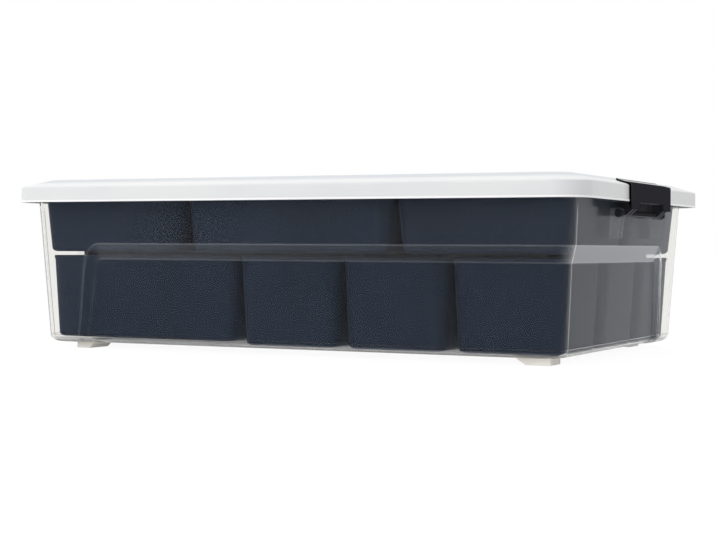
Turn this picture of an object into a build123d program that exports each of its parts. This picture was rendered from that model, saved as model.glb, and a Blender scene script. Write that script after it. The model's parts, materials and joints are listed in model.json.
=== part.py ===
from build123d import *
import os
from math import cos, radians, sin, tan

# Clear storage box with a frosted lid, two swing latches and two layers of organiser bins.
# Millimetres, +X along the length, +Y to the back, +Z up. The origin is on the floor, under the centre.

# Lid
LID_LENGTH = 600.0
LID_WIDTH = 400.0
LID_CORNER = 28.0
LID_WALL = 2.2
SKIRT_HEIGHT = 15.4
BORDER_WIDTH = 24.0
BORDER_RISE = 7.3
STACK_RECESS_INSET = 8.0
STACK_RECESS_DEPTH = 2.4
LID_EDGE_ROUND = 2.4
LOCATING_RIB_WALL = 1.8
LOCATING_RIB_DROP = 4.0

# Tub
SKIRT_BOTTOM = 145.7
OVERHANG = 16.0
TUB_CORNER = 18.0
TUB_WALL = 2.2
DRAFT_DEGREES = 3.5
FOOT_HEIGHT = 6.0
BASE_ROUND = 8.0
LEDGE_TOP = 105.5
LEDGE_HEIGHT = 16.5
PANEL_RECESS = 4.6
RIM_LIP_DROP = 6.5
RIM_SIDE_GAP = 1.4

# Full-size corner posts, measured from the tub's corner along each wall
FRONT_POST_HEAD = 60.0
FRONT_POST_FOOT = 41.0
END_POST_HEAD = 68.0
END_POST_FOOT = 52.0
POST_BAND_HEAD = 10.5
POST_BAND_FOOT = 5.0
POST_ROUND = 13.0
ROUND_LIFT = 0.2

# Feet: longer ones under the recessed corners, shorter and wider ones under the corner posts
FOOT_LENGTH = 23.0
FOOT_WIDTH = 27.0
FOOT_SLANT = 11.0
FOOT_EDGE_X = 16.5
FOOT_EDGE_Y = 11.5
POST_FOOT_LENGTH = 15.0
POST_FOOT_WIDTH = 32.0
POST_FOOT_SLANT = 8.0
POST_FOOT_EDGE_X = 32.5

# Latches
LATCH_WIDTH = 133.0
LATCH_WALL = 2.2
CHEEK_SPACING = 115.0
FLAP_REACH = 13.5
FLAP_THICKNESS = 1.8
PLATE_DROP = 6.7
ARCH_WIDTH = 92.0
ARCH_RISE = 5.0
PIN_RADIUS = 2.6
PIN_HEAD_RADIUS = 4.0
PIN_HEAD_LENGTH = 2.6
PIN_OUT = 7.3
PIN_DROP = 10.7
EAR_SPACING = 136.2
EAR_THICKNESS = 2.4
EAR_REACH = 4.6
EAR_HEIGHT = 28.0
EAR_ROUND = 4.6
EAR_NECK = 4.4

# Bins
BIN_WALL = 1.8
BIN_CORNER = 18.5
BIN_BASE_ROUND = 5.0
BIN_RIM_HEIGHT = 3.2
BIN_RIM_FLARE = 0.7
BIN_GAP = 0.5
LOWER_DRAFT_DEGREES = 3.5
UPPER_DRAFT_DEGREES = 6.0
LOWER_BIN_HEIGHT = 84.6
LOWER_ROWS = 3
LOWER_UNITS = 5
UPPER_BIN_HEIGHT = 64.0
UPPER_SIDE_GAP = 2.2
UPPER_ROWS = 2
UPPER_MIDDLE_SHARE = 0.396
BIN_RIB_WIDTH = 3.0
LOWER_RIB_LIFT = 3.0
LOWER_RIB_OFFSET = 55.0
LOWER_RIB_END = 38.0
UPPER_RIB_LIFT = 3.6
UPPER_RIB_END = 1.5
END_RIB_OFFSET = 34.0
MIDDLE_RIB_OFFSET = 80.0

# Clearances
SEAT_GAP = 0.3
PIN_CLEARANCE = 0.1
LATCH_GAP = 0.4

# Levels and outlines that follow from the sizes above
draft = tan(radians(DRAFT_DEGREES))
border_slope = BORDER_RISE / BORDER_WIDTH
lid_half = (LID_LENGTH / 2, LID_WIDTH / 2)
tub_half = (lid_half[0] - OVERHANG, lid_half[1] - OVERHANG)
lid_edge = SKIRT_BOTTOM + SKIRT_HEIGHT
lid_top = lid_edge + BORDER_RISE
ledge_foot = LEDGE_TOP - LEDGE_HEIGHT
tub_floor = FOOT_HEIGHT + TUB_WALL
rim_half = (lid_half[0] - LID_WALL - RIM_SIDE_GAP, lid_half[1] - LID_WALL - RIM_SIDE_GAP)
pin_x = tub_half[0] + PIN_OUT
pin_z = SKIRT_BOTTOM - PIN_DROP


def tub_side(height, axis):
    """Half size of the tub's outside at a height, along the length (0) or the width (1)."""
    return tub_half[axis] - draft * (SKIRT_BOTTOM - height)


def lid_underside(inset, thickness):
    """Height of a surface that lies a thickness below the lid, at an inset from the lid's edge."""
    return lid_edge + border_slope * inset - thickness


def rounded_stack(levels):
    """Solid through rounded rectangles, each given as height, half length, half width and corner."""
    with BuildPart() as stack:
        for height, half_length, half_width, corner in levels:
            with BuildSketch(Plane.XY.offset(height)):
                RectangleRounded(2 * half_length, 2 * half_width, corner)
        loft(ruled=True)
    return stack.part


def tub_body(inset, base, top, recess):
    """Plain drafted body of the tub with a rounded base, smaller all round by the recess."""
    shrink = inset + recess
    levels = [
        (base, tub_side(base, 0) - shrink, tub_side(base, 1) - shrink, TUB_CORNER - inset),
        (top, tub_side(top, 0) - shrink, tub_side(top, 1) - shrink, TUB_CORNER - inset),
    ]
    body = rounded_stack(levels)
    with BuildPart() as rounded:
        add(body)
        fillet(rounded.faces().sort_by(Axis.Z)[0].edges(), BASE_ROUND - inset)
    return rounded.part


def ledge_cone(inset):
    """Sloping ledge from the recessed panels out to the full wall, and on past it."""
    slope = (PANEL_RECESS + draft * LEDGE_HEIGHT) / LEDGE_HEIGHT
    overrun = LEDGE_HEIGHT / 2
    foot = [tub_side(ledge_foot, axis) - PANEL_RECESS - inset for axis in (0, 1)]
    grow = slope * (LEDGE_HEIGHT + overrun)
    levels = [
        (ledge_foot, foot[0], foot[1], TUB_CORNER - inset),
        (LEDGE_TOP + overrun, foot[0] + grow, foot[1] + grow, TUB_CORNER - inset),
    ]
    return rounded_stack(levels)


def panel_zone(axis, post_head, post_foot, inset):
    """Space over one recessed panel: it ends at a slanting post and rounds into the ledge."""
    angle = radians(DRAFT_DEGREES)
    if axis == 0:
        origin = (0, -tub_half[1] + inset, SKIRT_BOTTOM)
        wall_plane = Plane(origin, x_dir=(1, 0, 0), z_dir=(0, -cos(angle), -sin(angle)))
        hand = 1
    else:
        origin = (tub_half[0] - inset, 0, SKIRT_BOTTOM)
        wall_plane = Plane(origin, x_dir=(0, 1, 0), z_dir=(cos(angle), 0, -sin(angle)))
        hand = -1
    head_side = -tub_side(LEDGE_TOP, axis) + post_head - inset
    foot_side = -tub_side(FOOT_HEIGHT, axis) + post_foot - inset
    far_side = lid_half[axis]
    head = LEDGE_TOP - SKIRT_BOTTOM + ROUND_LIFT + inset
    below = -SKIRT_BOTTOM
    with BuildPart() as zone:
        for depth in (-0.5, 1.5):
            band_head = head_side + depth * POST_BAND_HEAD
            band_foot = foot_side + depth * POST_BAND_FOOT
            lean = (band_head - band_foot) / (LEDGE_TOP - FOOT_HEIGHT)
            low_side = band_foot - lean * FOOT_HEIGHT
            top = head - depth * LEDGE_HEIGHT
            top_side = low_side + lean * (top - below)
            with BuildSketch(wall_plane.offset(-depth * PANEL_RECESS)) as outline:
                with BuildLine():
                    Polyline(
                        (hand * low_side, below),
                        (hand * far_side, below),
                        (hand * far_side, top),
                        (hand * top_side, top),
                        close=True,
                    )
                make_face()
                head_corners = outline.vertices().group_by(Axis.Y)[-1].sort_by(Axis.X)
                fillet(head_corners[0 if hand > 0 else -1], POST_ROUND)
        loft(ruled=True)
    return zone.part


def tub_form(inset, base, top):
    """Tub with its recessed panels, ledge and full corner posts, as one solid block."""
    full = tub_body(inset, base, top, 0.0)
    core = tub_body(inset, base, ledge_foot, PANEL_RECESS)
    cone = ledge_cone(inset)
    zones = [
        panel_zone(0, FRONT_POST_HEAD, FRONT_POST_FOOT, inset),
        panel_zone(1, END_POST_HEAD, END_POST_FOOT, inset),
    ]
    corner = TUB_CORNER + PANEL_RECESS + OVERHANG
    corner_centre = (lid_half[0] - corner / 2, corner / 2 - lid_half[1], 0)
    with BuildPart() as cutter:
        with PolarLocations(0, 2):
            add(zones[0])
            add(zones[1])
            with Locations(corner_centre):
                corner_top = LEDGE_TOP + ROUND_LIFT
                Box(corner, corner, corner_top, align=(Align.CENTER, Align.CENTER, Align.MIN))
        add(core, mode=Mode.SUBTRACT)
        add(cone, mode=Mode.SUBTRACT)
    with BuildPart() as form:
        add(full)
        add(cutter.part, mode=Mode.SUBTRACT)
    return form.part


def rim_levels(thickness):
    """Levels of the flange that slopes under the lid's border, a thickness below the lid."""
    inner = (tub_side(lid_edge, 0) - TUB_WALL, tub_side(lid_edge, 1) - TUB_WALL)
    inset_out = lid_half[0] - rim_half[0]
    inset_in = lid_half[0] - inner[0]
    return [
        (lid_underside(inset_out, thickness), rim_half[0], rim_half[1], LID_CORNER - inset_out),
        (lid_underside(inset_in, thickness), inner[0], inner[1], LID_CORNER - inset_out),
    ]


def bin_form(centre, half, floor, height, draft_degrees, base_lift, rib_offsets, rib_end):
    """Open bin with a flared rim band, a rounded base and, where it has them, ribs under its floor."""
    lean = tan(radians(draft_degrees))
    rim_top = floor + height
    rim_low = rim_top - BIN_RIM_HEIGHT
    base = floor + base_lift
    rim_plane = Plane((centre[0], centre[1], rim_low))
    side = [value - BIN_RIM_FLARE for value in half]
    rib_length = 2 * (side[1] - lean * (rim_low - base) - rib_end)
    with BuildPart() as hollow:
        with BuildSketch(rim_plane.offset(BIN_RIM_HEIGHT)):
            inset = BIN_WALL - lean * BIN_RIM_HEIGHT
            RectangleRounded(2 * (side[0] - inset), 2 * (side[1] - inset), BIN_CORNER - inset)
        extrude(amount=base + BIN_WALL - rim_top, taper=draft_degrees)
        fillet(hollow.faces().sort_by(Axis.Z)[0].edges(), BIN_BASE_ROUND - BIN_WALL)
    with BuildPart() as shell:
        with BuildSketch(rim_plane):
            RectangleRounded(2 * side[0], 2 * side[1], BIN_CORNER)
        extrude(amount=base - rim_low, taper=draft_degrees)
        fillet(shell.faces().sort_by(Axis.Z)[0].edges(), BIN_BASE_ROUND)
        with BuildSketch(rim_plane):
            RectangleRounded(2 * half[0], 2 * half[1], BIN_CORNER + BIN_RIM_FLARE)
        extrude(amount=BIN_RIM_HEIGHT)
        if rib_offsets:
            with BuildSketch(Plane((centre[0], centre[1], floor))):
                with Locations([(offset, 0) for offset in rib_offsets]):
                    Rectangle(BIN_RIB_WIDTH, rib_length)
            extrude(amount=base_lift + BIN_WALL)
        add(hollow.part, mode=Mode.SUBTRACT)
    return shell.part


# Tub: outside form with its feet, rim and latch ears, hollowed to one wall
rim_gap = LID_WALL + SEAT_GAP
rim_top = rim_levels(rim_gap)
rim_under = rim_levels(rim_gap + TUB_WALL)
wall_top = lid_underside(OVERHANG, rim_gap + TUB_WALL / 2)
outside = tub_form(0.0, FOOT_HEIGHT, wall_top)
cavity = tub_form(TUB_WALL, tub_floor, lid_top + SKIRT_HEIGHT)

rim_outer = (rim_half[0], rim_half[1], rim_top[0][3])
rim_inner = (rim_half[0] - TUB_WALL, rim_half[1] - TUB_WALL, rim_top[0][3] - TUB_WALL)
lip_low = rim_top[0][0] - RIM_LIP_DROP
flange_blocks = [
    rounded_stack([(lip_low, *rim_outer), (rim_top[0][0], *rim_outer)]),
    rounded_stack(rim_top),
]
flange_spaces = [
    rounded_stack([(SKIRT_BOTTOM, *rim_inner), (rim_under[0][0], *rim_inner)]),
    rounded_stack([(rim_under[0][0], *rim_inner), rim_under[1]]),
]
with BuildPart() as rim:
    for block in flange_blocks:
        add(block)
    for space in flange_spaces:
        add(space, mode=Mode.SUBTRACT)
    add(cavity, mode=Mode.SUBTRACT)
with BuildPart() as walls:
    add(outside)
    add(cavity, mode=Mode.SUBTRACT)

foot_side = tub_side(FOOT_HEIGHT, 1) - FOOT_EDGE_Y
foot_head = FOOT_HEIGHT + TUB_WALL / 2
feet = [
    (1, FOOT_EDGE_X, FOOT_LENGTH, FOOT_WIDTH, FOOT_SLANT),
    (-1, POST_FOOT_EDGE_X, POST_FOOT_LENGTH, POST_FOOT_WIDTH, POST_FOOT_SLANT),
]
ear_foot = pin_z + EAR_ROUND - EAR_HEIGHT
ear_head = pin_z + EAR_ROUND

with BuildPart() as tub:
    add(walls.part)
    add(rim.part)
    for side in (-1, 1):
        for hand, edge, length, width, slant in feet:
            end = hand * side
            foot_out = tub_side(FOOT_HEIGHT, 0) - edge
            foot_in = foot_out - length
            with BuildSketch(Plane.XZ.offset(side * (foot_side - width / 2))):
                with BuildLine():
                    Polyline(
                        (end * foot_in, 0),
                        (end * foot_out, 0),
                        (end * foot_out, foot_head),
                        (end * (foot_in - slant), foot_head),
                        close=True,
                    )
                make_face()
            extrude(amount=width / 2, both=True)
        with BuildSketch(Plane.XZ.offset(side * EAR_SPACING / 2)):
            for end in (-1, 1):
                with BuildLine():
                    Polyline(
                        (end * (tub_side(ear_foot, 0) - TUB_WALL / 2), ear_foot),
                        (end * (pin_x + EAR_REACH / 2), ear_foot),
                        (end * (pin_x + EAR_REACH), pin_z),
                        (end * (pin_x + EAR_REACH / 2), ear_head),
                        (end * (tub_side(ear_head, 0) - TUB_WALL / 2), ear_head),
                        close=True,
                    )
                make_face()
            with Locations((-pin_x, pin_z), (pin_x, pin_z)):
                Circle(PIN_RADIUS + PIN_CLEARANCE, mode=Mode.SUBTRACT)
            with Locations((-pin_x - EAR_REACH, pin_z), (pin_x + EAR_REACH, pin_z)):
                Rectangle(2 * EAR_REACH, EAR_NECK, mode=Mode.SUBTRACT)
        extrude(amount=EAR_THICKNESS / 2, both=True)
tub.part.label = "tub"

# Lid: skirt, sloping border and a plateau that takes the feet of a box stacked on it
plateau = (lid_half[0] - BORDER_WIDTH, lid_half[1] - BORDER_WIDTH, LID_CORNER - LID_EDGE_ROUND)
under = (lid_half[0] - LID_WALL, lid_half[1] - LID_WALL, LID_CORNER - LID_WALL)
well = (plateau[0] - STACK_RECESS_INSET, plateau[1] - STACK_RECESS_INSET, plateau[2] - LID_EDGE_ROUND)
locator = [tub_side(lid_edge, axis) - TUB_WALL - LATCH_GAP for axis in (0, 1)]
locator_corner = TUB_CORNER - TUB_WALL
locator_inner = [value - LOCATING_RIB_WALL for value in locator]
locator_low = rim_top[1][0] - LOCATING_RIB_DROP
locator_top = lid_underside(lid_half[0] - locator[0], LID_WALL / 2)
lid_skirt = rounded_stack([(SKIRT_BOTTOM, *lid_half, LID_CORNER), (lid_edge, *lid_half, LID_CORNER)])
lid_border = rounded_stack([(lid_edge, *lid_half, LID_CORNER), (lid_top, *plateau)])
lid_space = [
    rounded_stack([(0, *under), (lid_underside(LID_WALL, LID_WALL), *under)]),
    rounded_stack([(lid_underside(LID_WALL, LID_WALL), *under), (lid_top - LID_WALL, *plateau)]),
]
well_top = rounded_stack([
    (lid_top - STACK_RECESS_DEPTH, *well),
    (lid_top + STACK_RECESS_DEPTH, *[value + STACK_RECESS_DEPTH for value in well]),
])
well_under = rounded_stack([
    (lid_top - STACK_RECESS_DEPTH - LID_WALL, well[0] + LID_WALL, well[1] + LID_WALL, well[2]),
    (lid_top, well[0] + LID_WALL, well[1] + LID_WALL, well[2]),
])
rib_outer = rounded_stack([
    (locator_low, *locator, locator_corner),
    (locator_top, *locator, locator_corner),
])
rib_inner = rounded_stack([
    (locator_low, *locator_inner, locator_corner - LOCATING_RIB_WALL),
    (locator_top, *locator_inner, locator_corner - LOCATING_RIB_WALL),
])
with BuildPart() as locating_rib:
    add(rib_outer)
    add(rib_inner, mode=Mode.SUBTRACT)

with BuildPart() as lid:
    add(lid_skirt)
    add(lid_border)
    edge_ring = lid.edges().group_by(Axis.Z)[-2]
    top_ring = lid.edges().group_by(Axis.Z)[-1]
    fillet(edge_ring + top_ring, LID_EDGE_ROUND)
    for space in lid_space:
        add(space, mode=Mode.SUBTRACT)
    add(locating_rib.part)
    add(well_under)
    add(well_top, mode=Mode.SUBTRACT)
lid.part.label = "lid"

# Latches: a plate with a hooked flap, cheeks, webs and a moulded pin that snaps into the tub's ears
plate_in = lid_half[0] + LATCH_GAP
plate_out = plate_in + LATCH_WALL
plate_low = SKIRT_BOTTOM - PLATE_DROP
flap_tip = lid_half[0] - FLAP_REACH
cheek_top = SKIRT_BOTTOM - LATCH_GAP
boss_radius = PIN_RADIUS + PIN_CLEARANCE + LATCH_WALL / 2
head_foot = EAR_SPACING / 2 + EAR_THICKNESS / 2 + SEAT_GAP


def flap_surface(x, height):
    """Height of a surface of the latch's flap that lies above the lid's border."""
    return lid_underside(lid_half[0] - x, -SEAT_GAP - height)


with BuildPart() as latch_right:
    with BuildSketch(Plane.XZ):
        with BuildLine() as bend:
            Polyline(
                (plate_in, plate_low),
                (plate_out, plate_low),
                (plate_out, flap_surface(plate_out, FLAP_THICKNESS)),
                (flap_tip, flap_surface(flap_tip, FLAP_THICKNESS)),
                (flap_tip, flap_surface(flap_tip, 0)),
                (plate_in, flap_surface(plate_in, 0)),
                close=True,
            )
        make_face()
    extrude(amount=LATCH_WIDTH / 2, both=True)
    shoulder = latch_right.edges().filter_by(Axis.Y).sort_by_distance(
        (plate_out, 0, flap_surface(plate_out, FLAP_THICKNESS))
    )[0]
    fillet(shoulder, LATCH_WALL * 0.7)
    with BuildSketch(Plane.YZ.offset(plate_in)):
        with BuildLine():
            Polyline(
                (-ARCH_WIDTH / 2, plate_low),
                (ARCH_WIDTH / 2, plate_low),
                (ARCH_WIDTH / 2 - ARCH_RISE, plate_low + ARCH_RISE),
                (ARCH_RISE - ARCH_WIDTH / 2, plate_low + ARCH_RISE),
                close=True,
            )
        make_face()
    extrude(amount=LATCH_WALL, mode=Mode.SUBTRACT)
    for side in (-1, 1):
        with BuildSketch(Plane.XZ.offset(side * (CHEEK_SPACING - LATCH_WALL) / 2)):
            with BuildLine():
                Polyline(
                    (plate_in + LATCH_WALL / 2, cheek_top),
                    (plate_in + LATCH_WALL / 2, plate_low),
                    (pin_x + boss_radius / 2, pin_z - boss_radius),
                    (pin_x - boss_radius / 2, pin_z - boss_radius),
                    (pin_x - boss_radius, pin_z),
                    (pin_x - boss_radius / 2, cheek_top),
                    close=True,
                )
            make_face()
        extrude(amount=LATCH_WALL / 2, both=True)
        with BuildSketch(Plane.XZ.offset(side * head_foot)):
            with Locations((pin_x, pin_z)):
                Circle(PIN_HEAD_RADIUS)
        extrude(amount=side * PIN_HEAD_LENGTH)
    with BuildSketch(Plane.XZ):
        with Locations((pin_x, pin_z)):
            Circle(PIN_RADIUS)
    extrude(amount=head_foot + PIN_HEAD_LENGTH / 2, both=True)
latch_right.part.label = "latch_right"

with BuildPart() as latch_left:
    add(latch_right.part, rotation=(0, 0, 180))
latch_left.part.label = "latch_left"

# Lower layer: rows of one double and three single bins on the tub's floor
lower_half = [tub_side(ledge_foot, axis) - PANEL_RECESS - TUB_WALL - SEAT_GAP for axis in (0, 1)]
unit = (2 * lower_half[0] + BIN_GAP) / LOWER_UNITS
lower_row = (2 * lower_half[1] + BIN_GAP) / LOWER_ROWS
lower_floor = tub_floor + SEAT_GAP
bins = {}
for row in range(LOWER_ROWS):
    name = "abc"[row]
    row_y = (row + 0.5) * lower_row - BIN_GAP / 2 - lower_half[1]
    half_width = (lower_row - BIN_GAP) / 2
    bins[f"bin_lower_double_{name}"] = bin_form(
        centre=(unit - BIN_GAP / 2 - lower_half[0], row_y),
        half=(unit - BIN_GAP / 2, half_width),
        floor=lower_floor,
        height=LOWER_BIN_HEIGHT,
        draft_degrees=LOWER_DRAFT_DEGREES,
        base_lift=LOWER_RIB_LIFT,
        rib_offsets=(-LOWER_RIB_OFFSET, LOWER_RIB_OFFSET),
        rib_end=LOWER_RIB_END,
    )
    for column in range(2, LOWER_UNITS):
        bins[f"bin_lower_single_{name}{column - 1}"] = bin_form(
            centre=((column + 0.5) * unit - BIN_GAP / 2 - lower_half[0], row_y),
            half=((unit - BIN_GAP) / 2, half_width),
            floor=lower_floor,
            height=LOWER_BIN_HEIGHT,
            draft_degrees=LOWER_DRAFT_DEGREES,
            base_lift=0.0,
            rib_offsets=(),
            rib_end=0.0,
        )

# Upper layer: rows of one wide bin between two end bins, on ribs that stand on the lower rims
upper_half = [tub_half[axis] - TUB_WALL - UPPER_SIDE_GAP for axis in (0, 1)]
upper_row = (2 * upper_half[1] + BIN_GAP) / UPPER_ROWS
upper_floor = lower_floor + LOWER_BIN_HEIGHT + SEAT_GAP
middle_half = UPPER_MIDDLE_SHARE * upper_half[0]
end_half = (upper_half[0] - middle_half - BIN_GAP) / 2
for row in range(UPPER_ROWS):
    name = "ab"[row]
    row_y = (row + 0.5) * upper_row - BIN_GAP / 2 - upper_half[1]
    half_width = (upper_row - BIN_GAP) / 2
    bins[f"bin_upper_middle_{name}"] = bin_form(
        centre=(0.0, row_y),
        half=(middle_half, half_width),
        floor=upper_floor,
        height=UPPER_BIN_HEIGHT,
        draft_degrees=UPPER_DRAFT_DEGREES,
        base_lift=UPPER_RIB_LIFT,
        rib_offsets=(-MIDDLE_RIB_OFFSET, 0.0, MIDDLE_RIB_OFFSET),
        rib_end=UPPER_RIB_END,
    )
    for number, end in ((1, -1), (2, 1)):
        bins[f"bin_upper_end_{name}{number}"] = bin_form(
            centre=(end * (upper_half[0] - end_half), row_y),
            half=(end_half, half_width),
            floor=upper_floor,
            height=UPPER_BIN_HEIGHT,
            draft_degrees=UPPER_DRAFT_DEGREES,
            base_lift=UPPER_RIB_LIFT,
            rib_offsets=(-END_RIB_OFFSET, END_RIB_OFFSET),
            rib_end=UPPER_RIB_END,
        )

os.makedirs("parts", exist_ok=True)
for piece in (tub, lid, latch_right, latch_left):
    export_step(piece.part, f"parts/{piece.part.label}.step")
for name, form in bins.items():
    form.label = name
    export_step(form, f"parts/{name}.step")
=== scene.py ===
"""Looks of a clear storage box with a frosted lid, two swing latches and loose organiser bins.

Every length is in metres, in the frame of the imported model: +X along the box towards the right
latch, +Y to the back, +Z up, with the origin on the floor under the middle of the box.
"""
import json
import logging
import math
from dataclasses import dataclass, field
from enum import Enum

import bpy
import numpy as np
from mathutils import Matrix, Vector


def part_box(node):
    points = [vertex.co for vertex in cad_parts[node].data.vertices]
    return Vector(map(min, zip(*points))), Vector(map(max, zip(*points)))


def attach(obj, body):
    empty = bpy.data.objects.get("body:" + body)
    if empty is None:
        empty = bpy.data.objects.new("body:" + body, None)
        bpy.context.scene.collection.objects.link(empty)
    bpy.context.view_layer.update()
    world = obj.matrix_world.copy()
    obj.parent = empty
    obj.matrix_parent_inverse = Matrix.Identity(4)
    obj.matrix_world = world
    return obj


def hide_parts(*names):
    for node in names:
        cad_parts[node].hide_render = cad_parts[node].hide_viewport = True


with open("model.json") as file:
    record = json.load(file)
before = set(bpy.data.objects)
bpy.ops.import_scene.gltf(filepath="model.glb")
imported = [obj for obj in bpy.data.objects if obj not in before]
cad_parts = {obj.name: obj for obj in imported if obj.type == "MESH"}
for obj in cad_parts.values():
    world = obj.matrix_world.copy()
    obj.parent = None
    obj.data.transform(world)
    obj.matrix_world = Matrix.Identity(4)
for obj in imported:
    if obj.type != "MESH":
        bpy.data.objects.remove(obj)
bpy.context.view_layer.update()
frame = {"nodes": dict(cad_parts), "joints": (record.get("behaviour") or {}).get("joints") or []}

LOG = logging.getLogger("storage_box")
MM = 0.001
# A length below this counts as nothing.
TINY = 1e-7
WHITE = (1.0, 1.0, 1.0, 1.0)
Vec3 = tuple[float, float, float]
Colour = tuple[float, float, float, float]
# From, to and how many.
Span = tuple[float, float, int]


@dataclass(frozen=True)
class Sizes:
    """Sizes of the moulded pieces that their boxes in the frame don't give."""

    skirt_height: float = 15.4 * MM
    lid_wall: float = 2.2 * MM
    lid_corner: float = 28.0 * MM
    border_width: float = 24.0 * MM
    border_rise: float = 7.3 * MM
    well_inset: float = 8.0 * MM
    well_depth: float = 2.4 * MM
    overhang: float = 16.0 * MM
    tub_wall: float = 2.2 * MM
    tub_corner: float = 18.0 * MM
    draft: float = math.tan(math.radians(3.5))
    base_round: float = 8.0 * MM
    base_height: float = 6.0 * MM
    ledge_top: float = 105.5 * MM
    ledge_height: float = 16.5 * MM
    panel_recess: float = 4.6 * MM
    rim_side_gap: float = 1.4 * MM
    rim_lip_drop: float = 6.5 * MM
    seat_gap: float = 0.3 * MM
    front_post_head: float = 60.0 * MM
    front_post_foot: float = 41.0 * MM
    end_post_head: float = 68.0 * MM
    end_post_foot: float = 52.0 * MM
    band_head: float = 10.5 * MM
    band_foot: float = 5.0 * MM
    bin_wall: float = 1.8 * MM
    bin_corner: float = 18.5 * MM
    bin_base_round: float = 5.0 * MM
    bin_rim_height: float = 3.2 * MM
    bin_rim_flare: float = 0.7 * MM


SIZES = Sizes()
LID_LOW, LID_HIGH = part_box("lid")
TUB_LOW, TUB_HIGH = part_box("tub")
LATCH_LOW, LATCH_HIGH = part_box("latch_right")
LID_HALF = (LID_HIGH.x, LID_HIGH.y)
TUB_HALF = (LID_HIGH.x - SIZES.overhang, LID_HIGH.y - SIZES.overhang)
SKIRT_BOTTOM = LID_LOW.z
LID_EDGE = SKIRT_BOTTOM + SIZES.skirt_height
LID_TOP = LID_HIGH.z
LEDGE_FOOT = SIZES.ledge_top - SIZES.ledge_height
LATCH_FOOT = SKIRT_BOTTOM - 6.7 * MM
BORDER_SLOPE = SIZES.border_rise / SIZES.border_width


def lid_surface(inset: float, below: float) -> float:
    """Height of a surface a distance below the lid's sloping border, at an inset from its edge."""
    return LID_EDGE + BORDER_SLOPE * inset - below


class Corner(Enum):
    """Corners of a rounded rectangle, anticlockwise from above.

    Each holds the signs of its place and the angle in degrees at which its arc starts.
    """

    RIGHT_FRONT = (1, -1, -90.0)
    RIGHT_BACK = (1, 1, 0.0)
    LEFT_BACK = (-1, 1, 90.0)
    LEFT_FRONT = (-1, -1, 180.0)


@dataclass
class Outline:
    """Stations round a rounded rectangle, the same ones for every size of it.

    A station on an arc is the corner's centre plus the radius along its angle. A station on a side
    lies between the end of one arc and the start of the next, at a fraction of the way.
    """

    corner_steps: int
    side_fractions: tuple[float, ...]
    angle: np.ndarray = field(init=False)
    signs: np.ndarray = field(init=False)
    next_signs: np.ndarray = field(init=False)
    share: np.ndarray = field(init=False)

    def __post_init__(self) -> None:
        """Lays the stations out, corner by corner, each arc followed by its side."""
        steps, sides = self.corner_steps, len(self.side_fractions)
        corners = np.array([corner.value for corner in Corner])
        signs, starts = corners[:, :2], corners[:, 2:]
        arcs = starts + 90.0 * np.arange(steps + 1)[None] / steps
        angles = np.concatenate([arcs, np.repeat(starts + 90.0, sides, axis=1)], 1)
        here = np.repeat(signs[:, None], steps + 1 + sides, axis=1)
        after = here.copy()
        after[:, steps + 1:] = np.roll(signs, -1, axis=0)[:, None]
        shares = np.concatenate([np.zeros(steps + 1), self.side_fractions])
        self.angle = np.radians(angles.reshape(-1))
        self.signs = here.reshape(-1, 2)
        self.next_signs = after.reshape(-1, 2)
        self.share = np.tile(shares, len(corners))

    def rings(self, half_x: np.ndarray, half_y: np.ndarray, radius: np.ndarray,
              share: np.ndarray | None = None) -> np.ndarray:
        """Rings of stations for rows of sizes.

        Args:
            half_x: Half length of each row.
            half_y: Half width of each row.
            radius: Corner radius of each row.
            share: Rows by stations, the fraction of the way along its side of each, where it
                changes from row to row.

        Returns:
            Rows by stations by two, the plan position of each station.
        """
        size = np.stack([half_x - radius, half_y - radius], -1)[:, None, :]
        turn = np.stack([np.cos(self.angle), np.sin(self.angle)], -1)[None] * radius[:, None, None]
        first = self.signs[None] * size + turn
        second = self.next_signs[None] * size + turn
        share = (self.share[None] if share is None else share)[..., None]
        return first * (1 - share) + second * share


def rounded_path(points: list[tuple[float, ...]], rounds: list[float], steps: int = 5) -> np.ndarray:
    """Open path through points, with an arc of its own radius at each point between the ends.

    Each arc touches both straight runs: it starts the radius times the tangent of half the turn
    before the point, and its points are the centre plus the radius along evenly spaced angles. Any
    value after the first two, such as a corner radius, changes evenly along the arc.

    Args:
        points: The points, two coordinates each and any further values.
        rounds: The radius at each point, where zero leaves it sharp.
        steps: Runs on each arc.

    Returns:
        The path's points, one row each.
    """
    data = np.array(points, float)
    path = [data[:1]]
    way = (np.arange(steps + 1) / steps)[:, None]
    for before, here, after, radius in zip(data[:-2], data[1:-1], data[2:], rounds[1:-1]):
        into, out = here[:2] - before[:2], after[:2] - here[:2]
        length_in, length_out = np.linalg.norm(into), np.linalg.norm(out)
        into, out = into / length_in, out / length_out
        turn = math.atan2(into[0] * out[1] - into[1] * out[0], float(into @ out))
        reach = abs(radius * math.tan(turn / 2))
        if reach < TINY:
            path.append(here[None])
            continue
        start = here + (before - here) * reach / length_in
        end = here + (after - here) * reach / length_out
        side = math.copysign(1.0, turn)
        centre = start[:2] + radius * side * np.array([-into[1], into[0]])
        arm = start[:2] - centre
        square = np.array([-arm[1], arm[0]])
        arc = centre + (arm * np.cos(turn * way) + square * np.sin(turn * way))
        path.append(np.concatenate([arc, start[2:] * (1 - way) + end[2:] * way], 1))
    path.append(data[-1:])
    return np.concatenate(path)


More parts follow.
